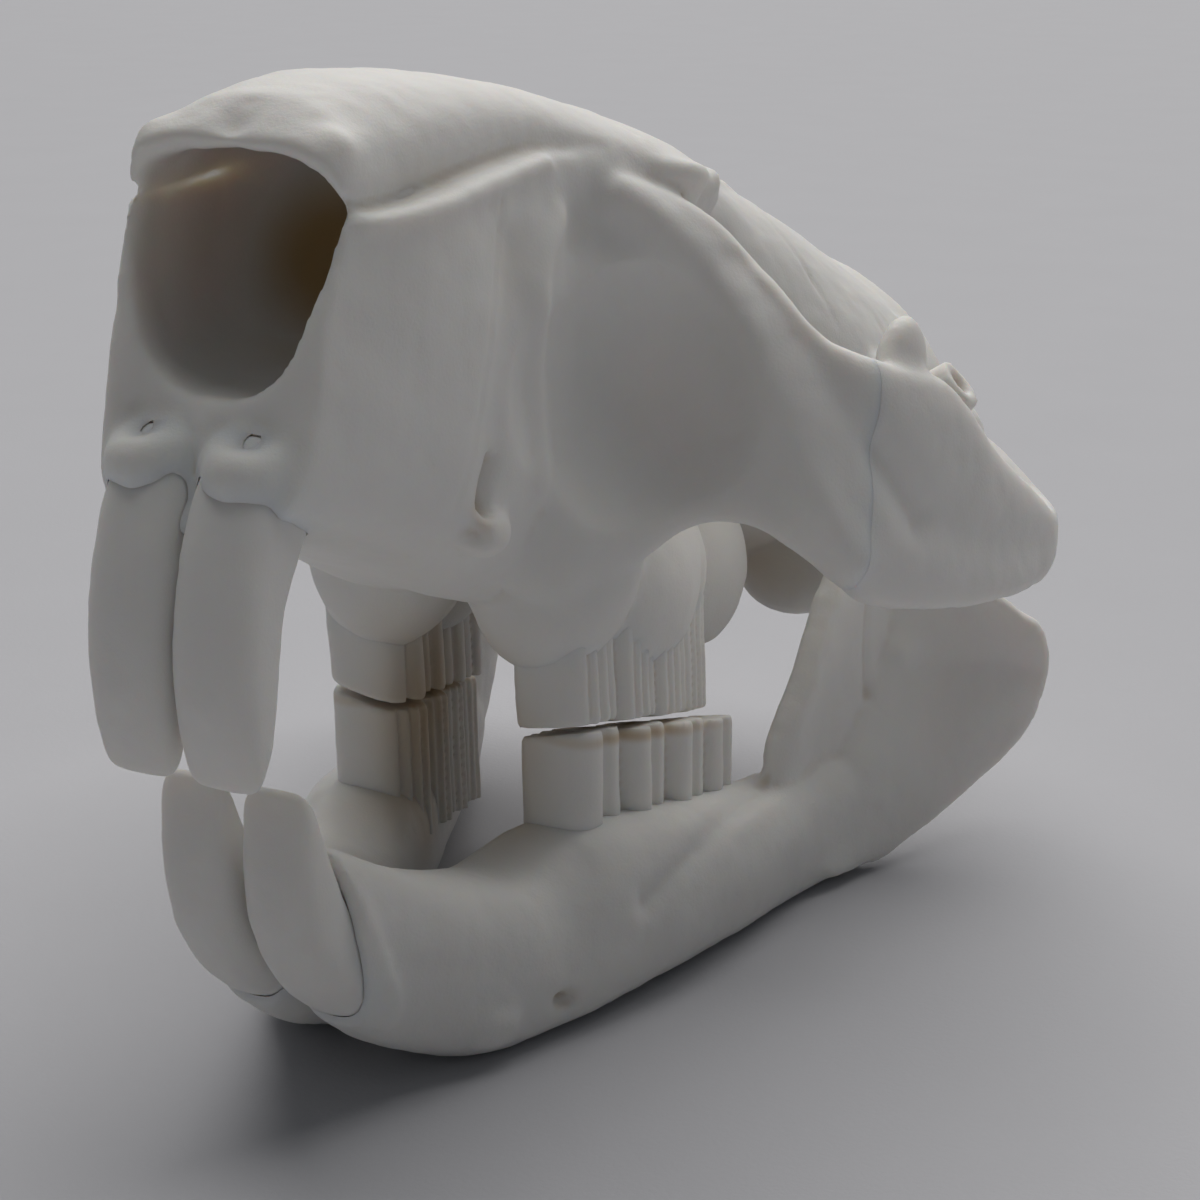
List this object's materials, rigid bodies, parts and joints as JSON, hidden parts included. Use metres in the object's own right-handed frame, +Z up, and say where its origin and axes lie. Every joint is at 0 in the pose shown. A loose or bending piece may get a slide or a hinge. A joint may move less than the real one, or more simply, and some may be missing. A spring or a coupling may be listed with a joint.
{
  "type": "beaver skull model",
  "caption": "Life-size white plastic beaver skull with its lower jaw closed, standing on the jaw with the snout raised.",
  "frame": {"origin": "middle of the footprint on the table, under the centre of the bounding box", "axes": "+Z up, -Y towards the nose, +X towards the animal's left; the skull is mirrored in the plane X = 0"},
  "size_m": [0.0966, 0.1378, 0.0974],
  "materials": {
    "plastic": "matte, slightly translucent"
  },
  "bodies": {
    "root": {"cranium": "plastic", "incisor_lower_left": "plastic", "incisor_lower_right": "plastic", "incisor_upper_left": "plastic", "incisor_upper_right": "plastic", "mandible_left": "plastic", "mandible_right": "plastic", "zygomatic_arch_left": "plastic", "zygomatic_arch_right": "plastic"}
  },
  "joints": []
}
